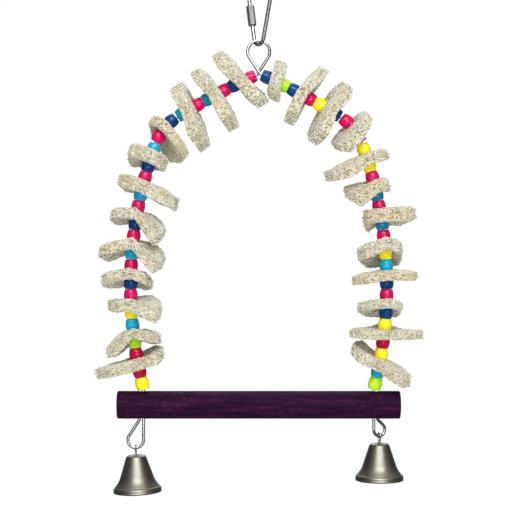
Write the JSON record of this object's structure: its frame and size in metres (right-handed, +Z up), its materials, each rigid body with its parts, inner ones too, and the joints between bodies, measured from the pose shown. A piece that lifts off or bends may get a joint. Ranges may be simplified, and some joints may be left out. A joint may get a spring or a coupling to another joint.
{
  "type": "bird swing",
  "caption": "Hanging bird swing: wooden perch on a wire arch strung with plastic beads and loofah chips, a bell under each end and a screw link at the top.",
  "frame": {"origin": "inside top of the screw link's wide bow, where the cage hook or bar bears; everything hangs below it", "axes": "+Z up, +X to the right along the perch, +Y away from the viewer of the picture"},
  "size_m": [0.2119, 0.0365, 0.3367],
  "materials": {
    "link_steel": "zinc-plated, bright",
    "nut_steel": "zinc-plated, satin",
    "arch_wire": "nickel-plated, bright",
    "dyed_wood": "dyed dark purple, matt, grain visible",
    "bell_nickel": "nickel-plated, satin sheen",
    "hanger_wire": "nickel-plated, bright",
    "clapper_nickel": "nickel-plated",
    "loofah": "dried loofah fibre, matt",
    "beads_crimson_yellow": "glossy, crimson above yellow",
    "beads_lime_crimson": "glossy, lime above crimson",
    "beads_lime_navy": "glossy, lime above navy",
    "beads_navy": "glossy, navy",
    "beads_navy_pink": "glossy, navy above pink",
    "beads_navy_yellow": "glossy, navy above yellow",
    "beads_pink": "glossy, pink",
    "beads_pink_turquoise": "glossy, pink above turquoise",
    "beads_pink_yellow": "glossy, pink above yellow",
    "beads_teal_pink": "glossy, teal above pink",
    "beads_turquoise_lime": "glossy, turquoise above lime",
    "beads_turquoise_navy": "glossy, turquoise above navy",
    "beads_turquoise_pink": "glossy, turquoise above pink",
    "beads_yellow_pink": "glossy, yellow above pink",
    "beads_yellow_turquoise": "glossy, yellow above turquoise"
  },
  "bodies": {
    "quick_link": {"quick_link": "link_steel"},
    "link_nut": {"link_nut": "nut_steel"},
    "swing_frame": {"wire_arch": "arch_wire", "perch": "dyed_wood"},
    "bell_hanger_left": {"bell_hanger_left": "hanger_wire"},
    "bell_shell_left": {"bell_shell_left": "bell_nickel"},
    "bell_clapper_left": {"bell_clapper_left": "clapper_nickel"},
    "top_bead_left": {"top_bead_left": "beads_pink"},
    "loofah_left_01": {"loofah_left_01": "loofah"},
    "bead_pair_left_01": {"bead_pair_left_01": "beads_navy_pink"},
    "loofah_left_02": {"loofah_left_02": "loofah"},
    "bead_pair_left_02": {"bead_pair_left_02": "beads_teal_pink"},
    "loofah_left_03": {"loofah_left_03": "loofah"},
    "bead_pair_left_03": {"bead_pair_left_03": "beads_turquoise_navy"},
    "loofah_left_04": {"loofah_left_04": "loofah"},
    "bead_pair_left_04": {"bead_pair_left_04": "beads_pink_turquoise"},
    "loofah_left_05": {"loofah_left_05": "loofah"},
    "bead_pair_left_05": {"bead_pair_left_05": "beads_navy_pink"},
    "loofah_left_06": {"loofah_left_06": "loofah"},
    "bead_pair_left_06": {"bead_pair_left_06": "beads_turquoise_pink"},
    "loofah_left_07": {"loofah_left_07": "loofah"},
    "bead_pair_left_07": {"bead_pair_left_07": "beads_navy_pink"},
    "loofah_left_08": {"loofah_left_08": "loofah"},
    "bead_pair_left_08": {"bead_pair_left_08": "beads_turquoise_pink"},
    "loofah_left_09": {"loofah_left_09": "loofah"},
    "bead_pair_left_09": {"bead_pair_left_09": "beads_navy_pink"},
    "loofah_left_10": {"loofah_left_10": "loofah"},
    "bead_pair_left_10": {"bead_pair_left_10": "beads_yellow_turquoise"},
    "loofah_left_11": {"loofah_left_11": "loofah"},
    "bead_pair_left_11": {"bead_pair_left_11": "beads_lime_crimson"},
    "loofah_left_12": {"loofah_left_12": "loofah"},
    "bead_pair_left_12": {"bead_pair_left_12": "beads_crimson_yellow"},
    "bell_hanger_right": {"bell_hanger_right": "hanger_wire"},
    "bell_shell_right": {"bell_shell_right": "bell_nickel"},
    "bell_clapper_right": {"bell_clapper_right": "clapper_nickel"},
    "top_bead_right": {"top_bead_right": "beads_navy"},
    "loofah_right_01": {"loofah_right_01": "loofah"},
    "bead_pair_right_01": {"bead_pair_right_01": "beads_lime_navy"},
    "loofah_right_02": {"loofah_right_02": "loofah"},
    "bead_pair_right_02": {"bead_pair_right_02": "beads_pink_yellow"},
    "loofah_right_03": {"loofah_right_03": "loofah"},
    "bead_pair_right_03": {"bead_pair_right_03": "beads_navy_pink"},
    "loofah_right_04": {"loofah_right_04": "loofah"},
    "bead_pair_right_04": {"bead_pair_right_04": "beads_pink_yellow"},
    "loofah_right_05": {"loofah_right_05": "loofah"},
    "bead_pair_right_05": {"bead_pair_right_05": "beads_yellow_pink"},
    "loofah_right_06": {"loofah_right_06": "loofah"},
    "bead_pair_right_06": {"bead_pair_right_06": "beads_teal_pink"},
    "loofah_right_07": {"loofah_right_07": "loofah"},
    "bead_pair_right_07": {"bead_pair_right_07": "beads_teal_pink"},
    "loofah_right_08": {"loofah_right_08": "loofah"},
    "bead_pair_right_08": {"bead_pair_right_08": "beads_yellow_turquoise"},
    "loofah_right_09": {"loofah_right_09": "loofah"},
    "bead_pair_right_09": {"bead_pair_right_09": "beads_navy_pink"},
    "loofah_right_10": {"loofah_right_10": "loofah"},
    "bead_pair_right_10": {"bead_pair_right_10": "beads_navy_yellow"},
    "loofah_right_11": {"loofah_right_11": "loofah"},
    "bead_pair_right_11": {"bead_pair_right_11": "beads_crimson_yellow"},
    "loofah_right_12": {"loofah_right_12": "loofah"},
    "bead_pair_right_12": {"bead_pair_right_12": "beads_turquoise_lime"}
  },
  "joints": [
    {"name": "link_nut_slide", "type": "slide", "parent": "quick_link", "child": "link_nut", "axis": [0.1211, -0.1876, -0.9747], "range_m": [0, 0.0073]},
    {"name": "swing_hinge", "type": "hinge", "parent": "quick_link", "child": "swing_frame", "pos_m": [-0.00111, 0, -0.03998], "axis": [1, 0, 0], "range_deg": [-60, 60]},
    {"name": "bell_left_swing", "type": "hinge", "parent": "swing_frame", "child": "bell_hanger_left", "pos_m": [-0.08104, -0.00007, -0.3046], "axis": [-0.9989, -0.0179, -0.0436], "range_deg": [-60, 60]},
    {"name": "bell_left_spin", "type": "hinge", "parent": "bell_hanger_left", "child": "bell_shell_left", "pos_m": [-0.08104, -0.00007, -0.3046], "axis": [-0.0436, -0.0008, 0.999], "continuous": true},
    {"name": "clapper_left_swing", "type": "hinge", "parent": "bell_hanger_left", "child": "bell_clapper_left", "pos_m": [-0.08052, -0.00006, -0.31654], "axis": [0.018, -0.9998, 0], "range_deg": [-35, 35]},
    {"name": "top_bead_left_spin", "type": "hinge", "parent": "swing_frame", "child": "top_bead_left", "pos_m": [-0.00678, 0.00126, -0.06397], "axis": [0.9081, 0.0163, 0.4184], "continuous": true},
    {"name": "loofah_left_01_turn", "type": "hinge", "parent": "swing_frame", "child": "loofah_left_01", "pos_m": [-0.0119, 0.00117, -0.06637], "axis": [0.9024, 0.0162, 0.4306], "range_deg": [-20, 20]},
    {"name": "bead_pair_left_01_spin", "type": "hinge", "parent": "swing_frame", "child": "bead_pair_left_01", "pos_m": [-0.02055, 0.00101, -0.07064], "axis": [0.8923, 0.016, 0.4512], "continuous": true},
    {"name": "loofah_left_02_turn", "type": "hinge", "parent": "swing_frame", "child": "loofah_left_02", "pos_m": [-0.02911, 0.00086, -0.07507], "axis": [0.8817, 0.0158, 0.4716], "range_deg": [-30, 30]},
    {"name": "bead_pair_left_02_spin", "type": "hinge", "parent": "swing_frame", "child": "bead_pair_left_02", "pos_m": [-0.03756, 0.00071, -0.07974], "axis": [0.8706, 0.0156, 0.4918], "continuous": true},
    {"name": "loofah_left_03_turn", "type": "hinge", "parent": "swing_frame", "child": "loofah_left_03", "pos_m": [-0.04592, 0.00056, -0.08456], "axis": [0.8591, 0.0154, 0.5116], "range_deg": [-30, 30]},
    {"name": "bead_pair_left_03_spin", "type": "hinge", "parent": "swing_frame", "child": "bead_pair_left_03", "pos_m": [-0.05439, 0.0004, -0.08996], "axis": [0.8272, 0.0149, 0.5617], "range_deg": [-30, 30]},
    {"name": "loofah_left_04_turn", "type": "hinge", "parent": "swing_frame", "child": "loofah_left_04", "pos_m": [-0.06255, 0.00026, -0.09705], "axis": [0.628, 0.0113, 0.7781], "range_deg": [-30, 30]},
    {"name": "bead_pair_left_04_spin", "type": "hinge", "parent": "swing_frame", "child": "bead_pair_left_04", "pos_m": [-0.06775, 0.00016, -0.10652], "axis": [0.3734, 0.0067, 0.9277], "range_deg": [-30, 30]},
    {"name": "loofah_left_05_turn", "type": "hinge", "parent": "swing_frame", "child": "loofah_left_05", "pos_m": [-0.07118, 0.0001, -0.11596], "axis": [0.3069, 0.0055, 0.9517], "range_deg": [-30, 30]},
    {"name": "bead_pair_left_05_spin", "type": "hinge", "parent": "swing_frame", "child": "bead_pair_left_05", "pos_m": [-0.07395, 0.00005, -0.1252], "axis": [0.273, 0.0049, 0.962], "continuous": true},
    {"name": "loofah_left_06_turn", "type": "hinge", "parent": "swing_frame", "child": "loofah_left_06", "pos_m": [-0.07645, 0.00001, -0.13452], "axis": [0.2387, 0.0043, 0.9711], "range_deg": [-30, 30]},
    {"name": "bead_pair_left_06_spin", "type": "hinge", "parent": "swing_frame", "child": "bead_pair_left_06", "pos_m": [-0.07856, -0.00003, -0.14394], "axis": [0.2041, 0.0037, 0.9789], "continuous": true},
    {"name": "loofah_left_07_turn", "type": "hinge", "parent": "swing_frame", "child": "loofah_left_07", "pos_m": [-0.08039, -0.00006, -0.15341], "axis": [0.1692, 0.003, 0.9856], "range_deg": [-30, 30]},
    {"name": "bead_pair_left_07_spin", "type": "hinge", "parent": "swing_frame", "child": "bead_pair_left_07", "pos_m": [-0.08182, -0.00009, -0.16295], "axis": [0.1342, 0.0024, 0.991], "continuous": true},
    {"name": "loofah_left_08_turn", "type": "hinge", "parent": "swing_frame", "child": "loofah_left_08", "pos_m": [-0.08298, -0.00011, -0.17253], "axis": [0.099, 0.0018, 0.9951], "range_deg": [-30, 30]},
    {"name": "bead_pair_left_08_spin", "type": "hinge", "parent": "swing_frame", "child": "bead_pair_left_08", "pos_m": [-0.08373, -0.00012, -0.18215], "axis": [0.0636, 0.0011, 0.998], "continuous": true},
    {"name": "loofah_left_09_turn", "type": "hinge", "parent": "swing_frame", "child": "loofah_left_09", "pos_m": [-0.08421, -0.00013, -0.19179], "axis": [0.0282, 0.0005, 0.9996], "range_deg": [-30, 30]},
    {"name": "bead_pair_left_09_spin", "type": "hinge", "parent": "swing_frame", "child": "bead_pair_left_09", "pos_m": [-0.08428, -0.00013, -0.20144], "axis": [-0.0073, -0.0001, 1], "continuous": true},
    {"name": "loofah_left_10_turn", "type": "hinge", "parent": "swing_frame", "child": "loofah_left_10", "pos_m": [-0.08406, -0.00013, -0.21109], "axis": [-0.0428, -0.0008, 0.9991], "range_deg": [-30, 30]},
    {"name": "bead_pair_left_10_spin", "type": "hinge", "parent": "swing_frame", "child": "bead_pair_left_10", "pos_m": [-0.08345, -0.00012, -0.22072], "axis": [-0.0782, -0.0014, 0.9969], "continuous": true},
    {"name": "loofah_left_11_turn", "type": "hinge", "parent": "swing_frame", "child": "loofah_left_11", "pos_m": [-0.08256, -0.0001, -0.23032], "axis": [-0.1135, -0.002, 0.9935], "range_deg": [-30, 30]},
    {"name": "bead_pair_left_11_spin", "type": "hinge", "parent": "swing_frame", "child": "bead_pair_left_11", "pos_m": [-0.08126, -0.00008, -0.23989], "axis": [-0.1486, -0.0027, 0.9889], "continuous": true},
    {"name": "loofah_left_12_turn", "type": "hinge", "parent": "swing_frame", "child": "loofah_left_12", "pos_m": [-0.07969, -0.00005, -0.2494], "axis": [-0.1836, -0.0033, 0.983], "range_deg": [-30, 30]},
    {"name": "bead_pair_left_12_spin", "type": "hinge", "parent": "swing_frame", "child": "bead_pair_left_12", "pos_m": [-0.07772, -0.00002, -0.25885], "axis": [-0.2183, -0.0039, 0.9759], "continuous": true},
    {"name": "bell_right_swing", "type": "hinge", "parent": "swing_frame", "child": "bell_hanger_right", "pos_m": [0.07742, 0.00172, -0.29713], "axis": [0.9061, 0.4231, 0], "range_deg": [-60, 60]},
    {"name": "bell_right_spin", "type": "hinge", "parent": "bell_hanger_right", "child": "bell_shell_right", "pos_m": [0.07742, 0.00172, -0.29713], "axis": [0, 0, 1], "continuous": true},
    {"name": "clapper_right_swing", "type": "hinge", "parent": "bell_hanger_right", "child": "bell_clapper_right", "pos_m": [0.07742, 0.00172, -0.30908], "axis": [-0.4231, 0.9061, 0], "range_deg": [-35, 35]},
    {"name": "top_bead_right_spin", "type": "hinge", "parent": "swing_frame", "child": "top_bead_right", "pos_m": [0.00455, -0.00126, -0.06397], "axis": [-0.9081, -0.0163, 0.4184], "continuous": true},
    {"name": "loofah_right_01_turn", "type": "hinge", "parent": "swing_frame", "child": "loofah_right_01", "pos_m": [0.00967, -0.00117, -0.06637], "axis": [-0.9024, -0.0162, 0.4306], "range_deg": [-20, 20]},
    {"name": "bead_pair_right_01_spin", "type": "hinge", "parent": "swing_frame", "child": "bead_pair_right_01", "pos_m": [0.01832, -0.00101, -0.07064], "axis": [-0.8923, -0.016, 0.4512], "continuous": true},
    {"name": "loofah_right_02_turn", "type": "hinge", "parent": "swing_frame", "child": "loofah_right_02", "pos_m": [0.02689, -0.00086, -0.07507], "axis": [-0.8817, -0.0158, 0.4716], "range_deg": [-30, 30]},
    {"name": "bead_pair_right_02_spin", "type": "hinge", "parent": "swing_frame", "child": "bead_pair_right_02", "pos_m": [0.03533, -0.00071, -0.07974], "axis": [-0.8706, -0.0156, 0.4918], "continuous": true},
    {"name": "loofah_right_03_turn", "type": "hinge", "parent": "swing_frame", "child": "loofah_right_03", "pos_m": [0.04369, -0.00056, -0.08456], "axis": [-0.8591, -0.0154, 0.5116], "range_deg": [-30, 30]},
    {"name": "bead_pair_right_03_spin", "type": "hinge", "parent": "swing_frame", "child": "bead_pair_right_03", "pos_m": [0.05216, -0.0004, -0.08996], "axis": [-0.8272, -0.0149, 0.5617], "range_deg": [-30, 30]},
    {"name": "loofah_right_04_turn", "type": "hinge", "parent": "swing_frame", "child": "loofah_right_04", "pos_m": [0.06032, -0.00026, -0.09705], "axis": [-0.628, -0.0113, 0.7781], "range_deg": [-30, 30]},
    {"name": "bead_pair_right_04_spin", "type": "hinge", "parent": "swing_frame", "child": "bead_pair_right_04", "pos_m": [0.06552, -0.00016, -0.10652], "axis": [-0.3734, -0.0067, 0.9277], "range_deg": [-30, 30]},
    {"name": "loofah_right_05_turn", "type": "hinge", "parent": "swing_frame", "child": "loofah_right_05", "pos_m": [0.06896, -0.0001, -0.11596], "axis": [-0.3069, -0.0055, 0.9517], "range_deg": [-30, 30]},
    {"name": "bead_pair_right_05_spin", "type": "hinge", "parent": "swing_frame", "child": "bead_pair_right_05", "pos_m": [0.07172, -0.00005, -0.1252], "axis": [-0.273, -0.0049, 0.962], "continuous": true},
    {"name": "loofah_right_06_turn", "type": "hinge", "parent": "swing_frame", "child": "loofah_right_06", "pos_m": [0.07422, -0.00001, -0.13452], "axis": [-0.2387, -0.0043, 0.9711], "range_deg": [-30, 30]},
    {"name": "bead_pair_right_06_spin", "type": "hinge", "parent": "swing_frame", "child": "bead_pair_right_06", "pos_m": [0.07633, 0.00003, -0.14394], "axis": [-0.2041, -0.0037, 0.9789], "continuous": true},
    {"name": "loofah_right_07_turn", "type": "hinge", "parent": "swing_frame", "child": "loofah_right_07", "pos_m": [0.07816, 0.00006, -0.15341], "axis": [-0.1692, -0.003, 0.9856], "range_deg": [-30, 30]},
    {"name": "bead_pair_right_07_spin", "type": "hinge", "parent": "swing_frame", "child": "bead_pair_right_07", "pos_m": [0.07959, 0.00009, -0.16295], "axis": [-0.1342, -0.0024, 0.991], "continuous": true},
    {"name": "loofah_right_08_turn", "type": "hinge", "parent": "swing_frame", "child": "loofah_right_08", "pos_m": [0.08075, 0.00011, -0.17253], "axis": [-0.099, -0.0018, 0.9951], "range_deg": [-30, 30]},
    {"name": "bead_pair_right_08_spin", "type": "hinge", "parent": "swing_frame", "child": "bead_pair_right_08", "pos_m": [0.0815, 0.00012, -0.18215], "axis": [-0.0636, -0.0011, 0.998], "continuous": true},
    {"name": "loofah_right_09_turn", "type": "hinge", "parent": "swing_frame", "child": "loofah_right_09", "pos_m": [0.08198, 0.00013, -0.19179], "axis": [-0.0282, -0.0005, 0.9996], "range_deg": [-30, 30]},
    {"name": "bead_pair_right_09_spin", "type": "hinge", "parent": "swing_frame", "child": "bead_pair_right_09", "pos_m": [0.08205, 0.00013, -0.20144], "axis": [0.0073, 0.0001, 1], "continuous": true},
    {"name": "loofah_right_10_turn", "type": "hinge", "parent": "swing_frame", "child": "loofah_right_10", "pos_m": [0.08184, 0.00013, -0.21109], "axis": [0.0428, 0.0008, 0.9991], "range_deg": [-30, 30]},
    {"name": "bead_pair_right_10_spin", "type": "hinge", "parent": "swing_frame", "child": "bead_pair_right_10", "pos_m": [0.08122, 0.00012, -0.22072], "axis": [0.0782, 0.0014, 0.9969], "continuous": true},
    {"name": "loofah_right_11_turn", "type": "hinge", "parent": "swing_frame", "child": "loofah_right_11", "pos_m": [0.08033, 0.0001, -0.23032], "axis": [0.1135, 0.002, 0.9935], "range_deg": [-30, 30]},
    {"name": "bead_pair_right_11_spin", "type": "hinge", "parent": "swing_frame", "child": "bead_pair_right_11", "pos_m": [0.07903, 0.00008, -0.23989], "axis": [0.1486, 0.0027, 0.9889], "continuous": true},
    {"name": "loofah_right_12_turn", "type": "hinge", "parent": "swing_frame", "child": "loofah_right_12", "pos_m": [0.07746, 0.00005, -0.2494], "axis": [0.1836, 0.0033, 0.983], "range_deg": [-30, 30]},
    {"name": "bead_pair_right_12_spin", "type": "hinge", "parent": "swing_frame", "child": "bead_pair_right_12", "pos_m": [0.07549, 0.00002, -0.25885], "axis": [0.2183, 0.0039, 0.9759], "continuous": true}
  ]
}
